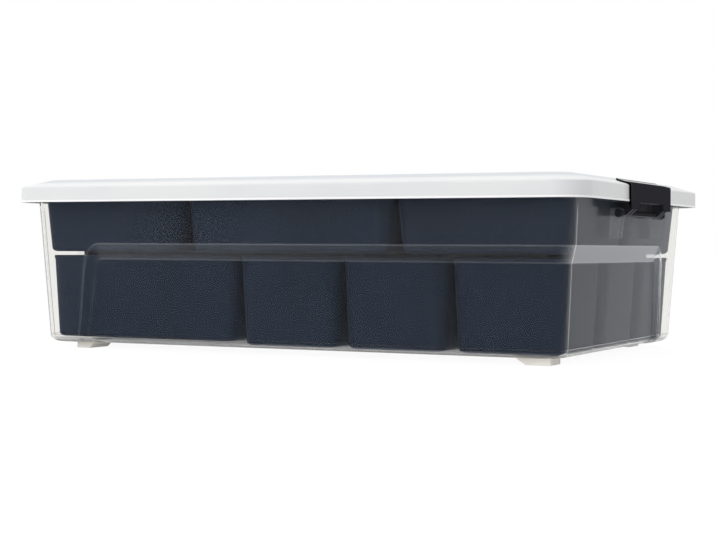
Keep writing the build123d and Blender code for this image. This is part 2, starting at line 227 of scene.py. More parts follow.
class MeshDraft:
    """Points and faces gathered from surfaces on grids, then made into one object."""

    def __init__(self) -> None:
        """Starts with no points and no faces."""
        self.points: list[np.ndarray] = []
        self.faces: list[list[int]] = []
        self.count = 0

    def grid(self, points: np.ndarray) -> "MeshDraft":
        """Adds a closed surface over rows and stations, with a flat face on its first and last rows.

        Args:
            points: Rows by stations by three. Faces look along station direction cross row direction.

        Returns:
            This draft.
        """
        rows, stations = points.shape[:2]
        index = self.count + np.arange(rows * stations).reshape(rows, stations)
        across = np.roll(index, -1, axis=1)
        quads = np.stack([index[:-1], across[:-1], across[1:], index[1:]], -1)
        self.faces.extend(quads.reshape(-1, 4).tolist())
        self.faces.append(index[0][::-1].tolist())
        self.faces.append(index[-1].tolist())
        self.points.append(points.reshape(-1, 3))
        self.count += rows * stations
        return self

    def build(self, name: str, smooth_angle: float = 35.0,
              marks: dict[str, np.ndarray] | None = None) -> bpy.types.Object:
        """Makes the object, with its place in its mesh.

        Args:
            name: The piece's name.
            smooth_angle: Edges that turn by more degrees than this stay sharp.
            marks: Values of each point, by the name of the attribute that holds them.

        Returns:
            The new object.
        """
        mesh = bpy.data.meshes.new(name)
        mesh.from_pydata(np.concatenate(self.points).tolist(), [], self.faces)
        mesh.validate()
        mesh.shade_smooth()
        mesh.set_sharp_from_angle(angle=math.radians(smooth_angle))
        for mark, values in (marks or {}).items():
            attribute = mesh.attributes.new(mark, "FLOAT", "POINT")
            attribute.data.foreach_set("value", values.astype(np.float32))
        piece = bpy.data.objects.new(name, mesh)
        bpy.context.scene.collection.objects.link(piece)
        return piece


def plate_prism(outline: np.ndarray, low: float, high: float, axis: int, soften: float) -> np.ndarray:
    """Grid of a flat outline carried along an axis, with its two ends softened.

    The outline runs clockwise, seen with the first of its two axes to the right. It is drawn in a
    little at each end, towards its own middle, so that the edge is a small bevel: rows lie at low,
    low plus the bevel, high less the bevel and high. A corner that turns by more than about 130
    degrees is drawn in less than the bevel asks, because its point would run far.

    Args:
        outline: Points of the outline in the other two axes, in order.
        low: Where the piece starts along the axis.
        high: Where it ends.
        axis: The axis's number.
        soften: Width of the bevel.

    Returns:
        Rows by stations by three.
    """
    least_scale = 0.35
    ahead, behind = np.roll(outline, -1, axis=0), np.roll(outline, 1, axis=0)
    into, out = outline - behind, ahead - outline
    into = into / np.linalg.norm(into, axis=1, keepdims=True)
    out = out / np.linalg.norm(out, axis=1, keepdims=True)
    normal = np.stack([-(into + out)[:, 1], (into + out)[:, 0]], -1)
    along_normal = (normal * np.stack([-into[:, 1], into[:, 0]], -1)).sum(1)
    drawn = outline - normal / np.maximum(least_scale, along_normal)[:, None] * soften
    others = [number for number in range(3) if number != axis]
    rows = []
    for place, ring in ((low, drawn), (low + soften, outline), (high - soften, outline), (high, drawn)):
        row = np.zeros((len(outline), 3))
        row[:, axis] = place
        row[:, others] = ring
        rows.append(row)
    return np.array(rows)


def at_end(points: np.ndarray, end: int) -> np.ndarray:
    """The same points at one end of the box: given a half turn about the upright axis when end is -1."""
    return points * np.array([end, end, 1.0])


def mirror_x(grid: np.ndarray) -> np.ndarray:
    """A grid mirrored to the other end, with its stations turned round so that it still faces out."""
    return (grid * np.array([-1.0, 1.0, 1.0]))[:, ::-1]


def raised(plan: np.ndarray, height: np.ndarray) -> np.ndarray:
    """Rows of plan positions, each row at its own height, as rows by stations by three."""
    level = np.broadcast_to(height[:, None, None], plan.shape[:2] + (1,))
    return np.concatenate([plan, level], -1)


def spread(count: int, margin: float) -> tuple[float, ...]:
    """Fractions of a side, spread evenly from a margin to as much short of its end."""
    return tuple(np.linspace(margin, 1.0 - margin, count))


class Value:
    """A value on a shader socket, with the operators that the finishes use."""

    def __init__(self, graph: "Nodes", source: "bpy.types.NodeSocket | float") -> None:
        """Keeps the graph and the socket or number."""
        self.graph = graph
        self.source = source

    def maths(self, operation: str, *others: "Value | float", clamp: bool = False) -> "Value":
        """One Math node on this value and others.

        Args:
            operation: What the node works out.
            others: Its further inputs.
            clamp: Whether the result is held between 0 and 1.

        Returns:
            The result.
        """
        inputs = [self, *others]
        node = self.graph.node("ShaderNodeMath", {"operation": operation, "use_clamp": clamp},
                               {number: value for number, value in enumerate(inputs)})
        return Value(self.graph, node.outputs[0])

    def __add__(self, other: "Value | float") -> "Value":
        """Sum."""
        return self.maths("ADD", other)

    __radd__ = __add__

    def __sub__(self, other: "Value | float") -> "Value":
        """Difference."""
        return self.maths("SUBTRACT", other)

    def __rsub__(self, other: float) -> "Value":
        """Difference the other way round."""
        return Value(self.graph, other).maths("SUBTRACT", self)

    def __mul__(self, other: "Value | float") -> "Value":
        """Product."""
        return self.maths("MULTIPLY", other)

    __rmul__ = __mul__

    def __pow__(self, other: "Value | float") -> "Value":
        """Power."""
        return self.maths("POWER", other)

    def ramp(self, low: float, high: float) -> "Value":
        """Rises smoothly from 0 at low to 1 at high."""
        node = self.graph.node("ShaderNodeMapRange", {"interpolation_type": "SMOOTHSTEP"},
                               {0: self, 1: low, 2: high, 3: 0.0, 4: 1.0})
        return Value(self.graph, node.outputs[0])

    def clamped(self) -> "Value":
        """The value held between 0 and 1."""
        return self.maths("ADD", 0.0, clamp=True)


class Nodes:
    """A node tree and the one method that adds to it."""

    def __init__(self, tree: bpy.types.NodeTree) -> None:
        """Keeps the tree."""
        self.tree = tree

    def node(self, kind: str, settings: dict | None = None, inputs: dict | None = None) -> bpy.types.Node:
        """Adds a node.

        Args:
            kind: The node's type.
            settings: Its own settings, set before its sockets.
            inputs: Values or links of its sockets, by name or number.

        Returns:
            The node.
        """
        node = self.tree.nodes.new(kind)
        for name, value in (settings or {}).items():
            setattr(node, name, value)
        for name, value in (inputs or {}).items():
            self.join(node.inputs[name], value)
        return node

    def join(self, socket: bpy.types.NodeSocket,
             value: "Value | bpy.types.NodeSocket | float | tuple") -> None:
        """Links a socket to a value, or sets it.

        Args:
            socket: The socket.
            value: A value or socket to link, or a number or tuple to set.
        """
        source = value.source if isinstance(value, Value) else value
        if isinstance(source, bpy.types.NodeSocket):
            self.tree.links.new(source, socket)
        else:
            socket.default_value = source

    def seen(self) -> Value:
        """Tells the rays that make the picture from the rays that only carry light.

        Returns:
            1 for rays from the camera, off a gloss or through clear plastic, and 0 for all others.
        """
        path = self.node("ShaderNodeLightPath")
        camera, gloss, clear = (Value(self, path.outputs[f"Is {kind} Ray"])
                                for kind in ("Camera", "Glossy", "Transmission"))
        return camera.maths("MAXIMUM", gloss).maths("MAXIMUM", clear)


class Graph(Nodes):
    """A material's nodes, which start from a Principled shader and the object's coordinates."""

    def __init__(self, name: str) -> None:
        """Starts the material."""
        self.material = bpy.data.materials.new(name)
        self.material.use_nodes = True
        super().__init__(self.material.node_tree)
        self.shader = self.tree.nodes["Principled BSDF"]
        self.place = self.node("ShaderNodeTexCoord").outputs["Object"]

    def set(self, **values: "Value | float | tuple") -> None:
        """Sets the Principled shader's sockets, named with underscores for spaces."""
        for name, value in values.items():
            self.join(self.shader.inputs[name.replace("_", " ")], value)

    def noise(self, scale: float, detail: float = 3.0, stretch: Vec3 = (1.0, 1.0, 1.0)) -> Value:
        """Noise on the object's own coordinates.

        Args:
            scale: How fine it is.
            detail: How many finer layers it has.
            stretch: What each coordinate is multiplied by first.

        Returns:
            The noise, from 0 to 1.
        """
        moved = self.node("ShaderNodeMapping", {}, {"Vector": self.place, "Scale": stretch})
        node = self.node("ShaderNodeTexNoise", {}, {"Vector": moved.outputs[0], "Scale": scale,
                                                    "Detail": detail})
        return Value(self, node.outputs["Fac"])

    def axis(self, name: str) -> Value:
        """One of the object's own coordinates."""
        node = self.node("ShaderNodeSeparateXYZ", {}, {0: self.place})
        return Value(self, node.outputs[name])

    def mark(self, name: str) -> Value:
        """An attribute of the piece's points, by its name."""
        return Value(self, self.node("ShaderNodeAttribute", {"attribute_name": name}).outputs["Fac"])

    def facing(self) -> Value:
        """How far the surface turns away from the viewer, 0 head on and 1 edge on."""
        node = self.node("ShaderNodeLayerWeight", {}, {"Blend": 0.5})
        return Value(self, node.outputs["Facing"])

    def blend(self, share: Value, first: "tuple | bpy.types.NodeSocket",
              second: "tuple | bpy.types.NodeSocket") -> bpy.types.NodeSocket:
        """Mixes two colours by a share."""
        node = self.node("ShaderNodeMix", {"data_type": "RGBA"}, {0: share, 6: first, 7: second})
        return node.outputs[2]

    def finish(self, share: Value, first: bpy.types.Node, second: bpy.types.Node) -> None:
        """Mixes two shaders by a share into the material's surface."""
        mix = self.node("ShaderNodeMixShader", {}, {0: share, 1: first.outputs[0], 2: second.outputs[0]})
        self.join(self.tree.nodes["Material Output"].inputs["Surface"], mix.outputs[0])

    def bump(self, height: Value, strength: float, distance: float) -> None:
        """Feeds a height into the shader's normal."""
        node = self.node("ShaderNodeBump", {}, {"Height": height, "Strength": strength,
                                                "Distance": distance})
        self.join(self.shader.inputs["Normal"], node.outputs["Normal"])


def tone(red: float, green: float, blue: float) -> Colour:
    """Linear colour of a screen colour.

    Args:
        red: Its red, from 0 to 255.
        green: Its green.
        blue: Its blue.

    Returns:
        The linear colour, with an alpha of 1.
    """
    def linear(value: float) -> float:
        """One channel by the usual screen curve."""
        share = value / 255.0
        return share / 12.92 if share <= 0.04045 else ((share + 0.055) / 1.055) ** 2.4
    return (linear(red), linear(green), linear(blue), 1.0)


@dataclass(frozen=True)
class ClearFinish:
    """Clear moulded plastic with a little milk in it, most on the sloping bands of its walls.

    Two marks on the piece's points say where: band is 1 on a sloping band, and line is how bright
    an edge line is. The lines along the bands' edges, up the corners and round the walls' foot are
    painted highlights, and on the feet and ears the same mark is their milky plastic. Past
    cream_from a line turns from milk to cream, and past thick_and_highlight_from to a near-white
    tone: the feet's thick plastic, and the painted highlight up the corners.
    """

    name: str = "tub_clear"
    glass: Colour = (0.93, 0.926, 0.91, 1.0)
    milk: Colour = tone(206, 210, 218)
    # Cream of the painted highlight round the foot of the walls.
    cream: Colour = tone(220, 216, 207)
    # Near white of the feet's thick plastic and of the painted highlight up the corners.
    thick: Colour = tone(250, 246, 238)
    dusk: Colour = tone(190, 186, 176)
    cream_from: float = 0.5
    thick_and_highlight_from: float = 2.5
    band_haze: float = 0.012
    band_slant: float = 0.66
    line_haze: float = 0.24
    edge_haze: float = 0.6
    slant_power: float = 1.8
    edge_power: float = 9.0
    roughness: float = 0.03
    roughness_spread: float = 0.05
    milk_roughness: float = 0.35
    cloud_scale: float = 18.0
    cloud_share: float = 0.4
    ripple_scale: float = 30.0
    ripple_strength: float = 0.05
    ripple_depth: float = 0.5 * MM
    ior: float = 1.066

    def make(self) -> bpy.types.Material:
        """Builds the material: clear plastic and milky plastic, mixed by how hazy each place is.

        Returns:
            The material.
        """
        graph = Graph(self.name)
        cloud = graph.noise(self.cloud_scale)
        graph.set(Base_Color=self.glass, Roughness=self.roughness + cloud * self.roughness_spread,
                  IOR=self.ior, Transmission_Weight=1.0)
        graph.bump(graph.noise(self.ripple_scale, detail=1.0), self.ripple_strength, self.ripple_depth)
        band, line = graph.mark("band"), graph.mark("line")
        slant, edge = graph.facing() ** self.slant_power, graph.facing() ** self.edge_power
        # Cream and near white where the line mark is high: painted highlights on the tub's walls, and the
        # feet's thick plastic.
        colour = graph.blend((line - self.cream_from).clamped(), self.milk, self.cream)
        colour = graph.blend((line - self.thick_and_highlight_from).clamped(), colour, self.thick)
        colour = graph.blend(edge.clamped(), colour, self.dusk)
        milky = graph.node("ShaderNodeBsdfPrincipled", {},
                           {"Base Color": colour, "Roughness": self.milk_roughness})
        uneven = 1.0 - self.cloud_share / 2 + cloud * self.cloud_share
        share = line * self.line_haze * uneven + edge * self.edge_haze
        share = share + band * (self.band_haze + slant * self.band_slant)
        graph.finish(share.clamped(), graph.shader, milky)
        return graph.material


@dataclass(frozen=True)
class FrostedFinish:
    """Frosted white plastic of the lid, a little cloudy, with a fine moulded grain.

    The paler foot and shoulder are painted highlights, near white along the skirt's bead and the
    lid's edge. The heights where they fade are measured from the skirt's bottom and from the lid's
    edge.
    """

    name: str = "lid_frosted"
    colour: Colour = tone(222, 223, 223)
    shade: Colour = tone(215, 217, 220)
    # Near white of the painted highlights on the skirt's bead and along the lid's edge.
    edge: Colour = tone(250, 250, 250)
    # Greyer tone of the plateau, painted shade where the dark bins lie beneath.
    top: Colour = tone(212, 216, 221)
    foot_highlight_fade: tuple[float, float] = (1.36 * MM, 2.21 * MM)
    shoulder_highlight_fade: tuple[float, float] = (-1.2 * MM, 0.4 * MM)
    shoulder_highlight_share: float = 0.55
    inner_shade_from: float = 0.35
    inner_shade_share: float = 0.8
    inner_shade_cloud: float = 0.3
    roughness: float = 0.28
    roughness_spread: float = 0.1
    cloud_scale: float = 7.0
    cloud_stretch: Vec3 = (1.0, 1.0, 3.0)
    cloud_span: tuple[float, float] = (0.4, 0.75)
    grain_scale: float = 260.0
    grain_strength: float = 0.03
    grain_depth: float = 0.1 * MM
    ior: float = 1.45

    def make(self) -> bpy.types.Material:
        """Builds the material: painted highlights pale the bead and the lid's edge, and painted shade
        dims the top a little, where the dark bins lie beneath.

        Returns:
            The material.
        """
        graph = Graph(self.name)
        cloud = graph.noise(self.cloud_scale, stretch=self.cloud_stretch)
        height = graph.axis("Z")
        # Painted highlights: the skirt's bead and the lid's edge turn near white.
        foot = 1.0 - height.ramp(*(SKIRT_BOTTOM + fade for fade in self.foot_highlight_fade))
        shoulder = height.ramp(*(LID_EDGE + fade for fade in self.shoulder_highlight_fade))
        body = graph.blend(cloud.ramp(*self.cloud_span), self.colour, self.shade)
        pale = graph.blend((foot + shoulder * self.shoulder_highlight_share).clamped(), body, self.edge)
        # Painted shade: the plateau turns greyer, where the dark bins lie beneath.
        inner = height.ramp(LID_EDGE + SIZES.border_rise * self.inner_shade_from, LID_TOP - SIZES.well_depth)
        pale = graph.blend(inner * (self.inner_shade_share + cloud * self.inner_shade_cloud), pale, self.top)
        graph.set(Base_Color=pale, Roughness=self.roughness + cloud * self.roughness_spread, IOR=self.ior)
        graph.bump(graph.noise(self.grain_scale, detail=2.0), self.grain_strength, self.grain_depth)
        return graph.material


@dataclass(frozen=True)
class BinFinish:
    """Satin navy plastic of the bins, with faint flow marks from moulding."""

    name: str = "bin_navy"
    colour: Colour = tone(35, 46, 64)
    shade: Colour = tone(29, 39, 55)
    roughness: float = 0.42
    roughness_spread: float = 0.12
    shine: float = 0.05
    flow_scale: float = 9.0
    flow_stretch: Vec3 = (1.0, 1.0, 0.35)
    flow_span: tuple[float, float] = (0.35, 0.7)
    grain_scale: float = 1100.0
    grain_strength: float = 0.02
    grain_depth: float = 0.1 * MM

    def make(self) -> bpy.types.Material:
        """Builds the material: the flow marks run up the walls and change tone and roughness.

        Returns:
            The material.
        """
        graph = Graph(self.name)
        flow = graph.noise(self.flow_scale, stretch=self.flow_stretch)
        graph.set(Base_Color=graph.blend(flow.ramp(*self.flow_span), self.colour, self.shade),
                  Roughness=self.roughness + flow * self.roughness_spread, Specular_IOR_Level=self.shine)
        graph.bump(graph.noise(self.grain_scale, detail=2.0), self.grain_strength, self.grain_depth)
        return graph.material


@dataclass(frozen=True)
class LatchFinish:
    """Satin black plastic of the latches, rubbed a little smoother and greyer on its edges.

    A thin grey rim runs along the foot of the plate and of the cheeks: a painted highlight, where
    the rounded lower edges catch the light from below. It lies within highlight_height of a line
    that slopes inwards from the plate's foot.
    """

    name: str = "latch_black"
    colour: Colour = tone(49, 49, 53)
    worn: Colour = tone(62, 62, 66)
    # Grey of the painted highlight along the lower edges.
    edge: Colour = tone(112, 112, 116)
    polish_height: float = 2.6 * MM
    highlight_height: float = 0.7 * MM
    fade: float = 1.4
    plate: float = LATCH_HIGH.x - 1.1 * MM
    plate_fade: float = 1.2 * MM
    slope: float = 0.88
    head_drop: float = 1.4 * MM
    highlight_side: float = 58.5 * MM
    side_fade: float = 0.5 * MM
    roughness: float = 0.38
    roughness_spread: float = 0.12
    polish_roughness: float = 0.12
    rub_scale: float = 60.0
    rub_span: tuple[float, float] = (0.35, 0.65)
    edge_span: tuple[float, float] = (0.52, 0.6)
    grain_scale: float = 1600.0
    grain_strength: float = 0.04
    grain_depth: float = 0.1 * MM

    def rim(self, graph: Graph) -> Value:
        """How far a place lies on the painted highlight along the lower edges.

        Args:
            graph: The material's nodes.

        Returns:
            1 on the painted highlight and 0 elsewhere.
        """
        out, side = graph.axis("X").maths("ABSOLUTE"), graph.axis("Y").maths("ABSOLUTE")
        foot = ((out - self.plate) * self.slope + LATCH_FOOT).maths("MAXIMUM", LATCH_LOW.z + self.head_drop)
        low = 1.0 - (graph.axis("Z") - foot).ramp(self.highlight_height, self.highlight_height * self.fade)
        inside = 1.0 - out.ramp(self.plate - self.plate_fade, self.plate)
        return low * inside * (1.0 - side.ramp(self.highlight_side, self.highlight_side + self.side_fade))

    def make(self) -> bpy.types.Material:
        """Builds the material: the flap's top is polished by use.

        Returns:
            The material.
        """
        graph = Graph(self.name)
        rub = graph.noise(self.rub_scale, detail=4.0)
        edge = Value(graph, graph.node("ShaderNodeNewGeometry").outputs["Pointiness"])
        worn = edge.ramp(*self.edge_span) * rub.ramp(*self.rub_span)
        low = LID_EDGE + self.polish_height
        polish = graph.axis("Z").ramp(low, LID_EDGE + self.polish_height * self.fade)
        colour = graph.blend(worn, self.colour, self.worn)
        # The grey along the lower edges is a painted highlight.
        graph.set(Base_Color=graph.blend(self.rim(graph), colour, self.edge),
                  Roughness=self.roughness + rub * self.roughness_spread, Specular_IOR_Level=0.0,
                  Coat_Weight=polish, Coat_Roughness=self.polish_roughness)
        graph.bump(graph.noise(self.grain_scale, detail=2.0), self.grain_strength, self.grain_depth)
        return graph.material


def dress(piece: bpy.types.Object, material: bpy.types.Material, node: str) -> None:
    """Gives a piece its material, body, node and slot.

    Args:
        piece: The piece.
        material: Its material.
        node: The node that it stands for, which is also the name of the body that it rides on.
    """
    piece.data.materials.append(material)
    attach(piece, node)
    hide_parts(node)
    LOG.info("%s: %d faces on %s", piece.name, len(piece.data.polygons), node)


@dataclass(frozen=True)
class Post:
    """Full-size corner post on one wall: how far it reaches from the tub's corner."""

    head: float
    foot: float
    from_start: bool


@dataclass(frozen=True)
class Foot:
    """One kind of foot: its edges' distance from the tub's sides, its flat face and its slope."""

    edge: float
    length: float
    width: float
    slant: float
    hand: int


@dataclass(frozen=True)
class BandHighlight:
    """A painted highlight line along a band's edge: how bright, at which share of the recess, and how wide.
    """

    bright: float
    place: float
    width: float

    def over(self, share: np.ndarray) -> np.ndarray:
        """Brightness at each share: full at the line's place, and falling evenly on both sides."""
        return self.bright * np.maximum(0.0, 1.0 - np.abs(share - self.place) / self.width)


@dataclass
class Tub:
    """The clear tub: drafted walls with recessed panels, a sloping ledge and two full posts."""

    material: bpy.types.Material
    rim_half: float = LID_HALF[0] - SIZES.lid_wall - SIZES.rim_side_gap
    rim_round: float = 0.5 * MM
    centre_inset: float = 30.0 * MM
    corner_steps: int = 16
    near_spans: tuple[Span, ...] = (
        (-3.0, -0.4, 4), (-0.1, 0.2, 7), (0.3, 0.8, 6), (0.88, 1.12, 6), (1.2, 2.1, 7), (2.5, 4.0, 3),
    )
    rest_span: Span = (0.12, 0.96, 8)
    far_past: float = 9.0
    end_gap: float = 0.9 * MM
    least_way: float = 0.0005
    post_round: float = 1.4
    soft_edge: float = 0.03
    ear_thickness: float = 2.4 * MM
    ear_height: float = 28.0 * MM
    ear_spacing: float = 136.2 * MM
    ear_reach: float = 4.6 * MM
    ear_bevel: float = 0.3 * MM
    eye_radius: float = 2.7 * MM
    neck_half: float = 2.2 * MM
    foot_edge_y: float = 11.5 * MM
    foot_bevel: float = 0.4 * MM
    band_rise: float = 30.0
    # Painted highlights, held in the line mark: along the bands' edges, up the outer wall where a corner
    # meets an end, and round the foot of the walls.
    band_highlights: tuple[BandHighlight, ...] = (BandHighlight(0.36, 0.05, 0.06), BandHighlight(0.24, 0.96, 0.05))
    corner_highlight: float = 2.9
    corner_highlight_start: float = 4.0 * MM
    corner_highlight_stop: float = 1.0 * MM
    under_line: float = 1.7
    under_height: float = 5.0 * MM
    under_fade: float = 3.0 * MM
    middle_line: float = 0.1
    foot_line: float = 3.6
    ear_line: float = 0.45
    posts: tuple[Post, ...] = (
        Post(SIZES.end_post_head, SIZES.end_post_foot, False),
        Post(SIZES.front_post_head, SIZES.front_post_foot, True),
    )
    kinds: tuple[Foot, ...] = (
        Foot(16.5 * MM, 23.0 * MM, 27.0 * MM, 11.0 * MM, 1),
        Foot(32.5 * MM, 15.0 * MM, 32.0 * MM, 8.0 * MM, -1),
    )

    def offset(self, height: float) -> float:
        """How far the outer wall stands from its place at the lid's skirt, at a height."""
        return -SIZES.draft * (SKIRT_BOTTOM - height)

    def wall_heights(self) -> np.ndarray:
        """Heights of the walls' rows, close together where the ledge bends at its foot and top.

        Returns:
            The heights, upwards.
        """
        foot, top = LEDGE_FOOT, SIZES.ledge_top
        spans = (
            (foot - 5.0 * MM, foot - 2.0 * MM, 4),
            (foot - 1.5 * MM, foot + 2.0 * MM, 8),
            (foot + 3.0 * MM, top - 3.0 * MM, 9),
            (top - 2.2 * MM, top + 1.0 * MM, 9),
            (top + 3.0 * MM, SKIRT_BOTTOM, 4),
        )
        lower = np.linspace(SIZES.base_height, foot - 6.0 * MM, 12)[1:]
        return np.concatenate([lower, *(np.linspace(*span) for span in spans)])

    def profile(self) -> np.ndarray:
        """Section from the middle of the underside out, up and round the rim, and down inside.

        Returns:
            Rows of offset from the tub's half size, height, corner radius and wall, where wall is 0
            on the outside and 1 on the inside.
        """
        wall, corner = SIZES.tub_wall, SIZES.tub_corner
        base, floor = SIZES.base_height, SIZES.base_height + SIZES.tub_wall
        rim = self.rim_half - TUB_HALF[0]
        gap = SIZES.lid_wall + SIZES.seat_gap
        rim_corner = SIZES.lid_corner - SIZES.lid_wall - SIZES.rim_side_gap
        rim_edge = lid_surface(LID_HALF[0] - self.rim_half, gap)
        wall_head = lid_surface(SIZES.overhang, gap + wall)
        inner_head = lid_surface(SIZES.overhang + wall, gap)
        inner_base = self.offset(floor) - wall
        heights = self.wall_heights()
        outer = [(self.offset(h), h, corner, 0.0) for h in heights]
        inner = [(self.offset(h) - wall, h, corner - wall, 1.0) for h in heights[::-1]]
        over_rim = [
            (self.offset(wall_head), wall_head, corner, 0.0),
            (rim - wall, rim_edge - wall, rim_corner - wall, 0.5),
            (rim - wall, rim_edge - SIZES.rim_lip_drop, rim_corner - wall, 0.5),
            (rim, rim_edge - SIZES.rim_lip_drop, rim_corner, 0.5),
            (rim, rim_edge, rim_corner, 0.5),
            (self.offset(inner_head) - wall, inner_head, corner - wall, 1.0),
        ]
        points = [
            (self.offset(base) - self.centre_inset, base, corner - SIZES.base_round, 0.0),
            (self.offset(base), base, corner, 0.0),
            *outer,
            *over_rim,
            *inner,
            (inner_base, floor, corner - wall, 1.0),
            (inner_base - self.centre_inset, floor, corner - SIZES.base_round, 1.0),
        ]
        rounds = [0.0, SIZES.base_round] + [0.0] * len(outer) + [self.rim_round] * len(over_rim)
        rounds += [0.0] * len(inner) + [SIZES.base_round - wall, 0.0]
        return rounded_path(points, rounds, 6)

    def along_side(self, number: int, rows: np.ndarray) -> tuple[np.ndarray, np.ndarray]:
        """Stations along one side, close together at the two edges of its post's slanting band.

        Those near the post lie at the post's line plus a share of its band's width, both of which
        change evenly with height, and the others are spread over the rest of the side.

        Args:
            number: The side's number, in the order of the corners.
            rows: The section's rows.

        Returns:
            Rows by stations, the way along the side and how far past the post's line, in bands.
        """
        offset, height, corner, wall = rows.T
        post = self.posts[number % 2]
        climb = (height - SIZES.base_height) / (SIZES.ledge_top - SIZES.base_height)
        band = (SIZES.band_foot + (SIZES.band_head - SIZES.band_foot) * climb)[:, None]
        side = 2 * (TUB_HALF[1 - number % 2] + offset - corner)[:, None]
        inward = wall * SIZES.tub_wall
        line = post.foot + (post.head - post.foot) * climb - inward
        line = (line - corner + (self.offset(height) - inward - offset))[:, None]
        near = line + np.concatenate([np.linspace(*span) for span in self.near_spans])[None] * band
        last = near[:, -1:]
        rest = last + (side - last) * np.linspace(*self.rest_span)[None]
        along = np.concatenate([np.full_like(last, self.end_gap), near, rest, side - self.end_gap], 1)
        past = (along - line) / band
        way = np.clip(along / side, self.least_way, 1.0 - self.least_way)
        if post.from_start:
            return way, past
        return 1.0 - way[:, ::-1], past[:, ::-1]

    def stations(self, rows: np.ndarray) -> tuple[Outline, np.ndarray, np.ndarray]:
        """Stations round the tub that follow the slanting edges of its posts.

        The posts stand at every second corner, and the other two corners are recessed all the way.

        Args:
            rows: The section's rows.

        Returns:
            The outline, and rows by stations of the way along each side and of how far past the
            post's line each station is, in bands.
        """
        ways, bands = [], []
        for number in range(len(Corner)):
            way, past = self.along_side(number, rows)
            at_corner = np.full((len(rows), self.corner_steps + 1), self.far_past)
            ways += [np.zeros_like(at_corner), way]
            bands += [at_corner if number % 2 == 0 else -at_corner, past]
        outline = Outline(self.corner_steps, (0.5,) * way.shape[1])
        return outline, np.concatenate(ways, 1), np.concatenate(bands, 1)

    def recess_share(self, past: np.ndarray, heights: np.ndarray) -> np.ndarray:
        """How far each point is recessed, from 0 on the posts and upper walls to 1 on the panels.

        Two distances count, both as shares of their band: below the ledge's top, and past the
        post's slanting line along the wall. They are joined with a round corner: a round of r
        gives r less the length of what each still lacks to r.

        Args:
            past: Rows by stations, how many bands each point is past the post's line.
            heights: Height of each row.

        Returns:
            Rows by stations.
        """
        down = ((SIZES.ledge_top - heights) / SIZES.ledge_height)[:, None]
        lack_along = np.maximum(0.0, self.post_round - past)
        lack_down = np.maximum(0.0, self.post_round - down)
        share = self.post_round - np.sqrt(lack_along ** 2 + lack_down ** 2)
        soft = self.soft_edge
        rise = np.where(share < soft, np.maximum(share + soft, 0.0) ** 2 / (4 * soft), share)
        spare = 1.0 - rise
        return 1.0 - np.where(spare < soft, np.maximum(spare + soft, 0.0) ** 2 / (4 * soft), spare)

    def marks(self, share: np.ndarray, rows: np.ndarray, outline: Outline) -> dict[str, np.ndarray]:
        """How much each point lies on a sloping band and on a painted highlight line.

        The band's mark is the share recessed times the share left, times a large number and held at
        1. The lines are painted highlights: they run along the band's edges, up the outer wall where a
        corner meets an end, and round the foot of the walls.

        Args:
            share: Rows by stations, how far each point is recessed.
            rows: The section's rows.
            outline: The stations.

        Returns:
            The points' values of both marks.
        """
        _, height, _, wall = rows.T
        band = np.clip(self.band_rise * share * (1.0 - share), 0.0, 1.0)
        # Painted highlight lines along the bands' edges.
        line = np.max([edge.over(share) for edge in self.band_highlights], axis=0)
        at_corner = np.isclose(np.abs(np.cos(outline.angle)), 1.0) & (outline.share == 0.0)
        on_wall = (wall == 0.0) & (height > SIZES.base_height + self.corner_highlight_start)
        on_wall &= height < SKIRT_BOTTOM - self.corner_highlight_stop
        # Painted highlight up the outer wall where each corner meets an end.
        line = np.maximum(line, (at_corner[None] & on_wall[:, None]) * self.corner_highlight)
        # Painted highlight round the foot of the walls, fading upwards.
        above_foot = height - SIZES.base_height
        under = np.clip((self.under_height - above_foot) / self.under_fade, 0.0, self.under_line)
        under[[0, -1]] = self.middle_line
        line = np.maximum(line, under[:, None])
        return {"band": band.reshape(-1), "line": line.reshape(-1)}

    def shell(self) -> tuple[np.ndarray, dict[str, np.ndarray]]:
        """Walls, floor and rim as one closed surface: rings of the section, drawn in by the recess.

        Returns:
            The grid, rows by stations by three, and the marks of its points.
        """
        rows = self.profile()
        offset, height, corner, _ = rows.T
        outline, way, past = self.stations(rows)
        full = outline.rings(TUB_HALF[0] + offset, TUB_HALF[1] + offset, corner, way)
        drawn = offset - SIZES.panel_recess
        recessed = outline.rings(TUB_HALF[0] + drawn, TUB_HALF[1] + drawn, corner, way)
        share = self.recess_share(past, height)
        plan = full * (1 - share[..., None]) + recessed * share[..., None]
        return raised(plan, height), self.marks(share, rows, outline)

    def feet(self, draft: MeshDraft) -> None:
        """Adds the four feet, each a block with a slanting inner end, of two kinds by their hand.

        Args:
            draft: What they are added to.
        """
        low, high = TUB_LOW.z, SIZES.base_height + SIZES.tub_wall / 2
        out_y = TUB_HALF[1] + self.offset(SIZES.base_height) - self.foot_edge_y
        for kind in self.kinds:
            out_x = TUB_HALF[0] + self.offset(SIZES.base_height) - kind.edge
            flat = out_x - kind.length
            outline = np.array([(out_x, high), (out_x, low), (flat, low), (flat - kind.slant, high)])
            for end in (-1, 1):
                side = -end * kind.hand
                near, far = sorted((side * out_y, side * (out_y - kind.width)))
                grid = plate_prism(outline, near, far, 1, self.foot_bevel)
                draft.grid(grid if end > 0 else mirror_x(grid))

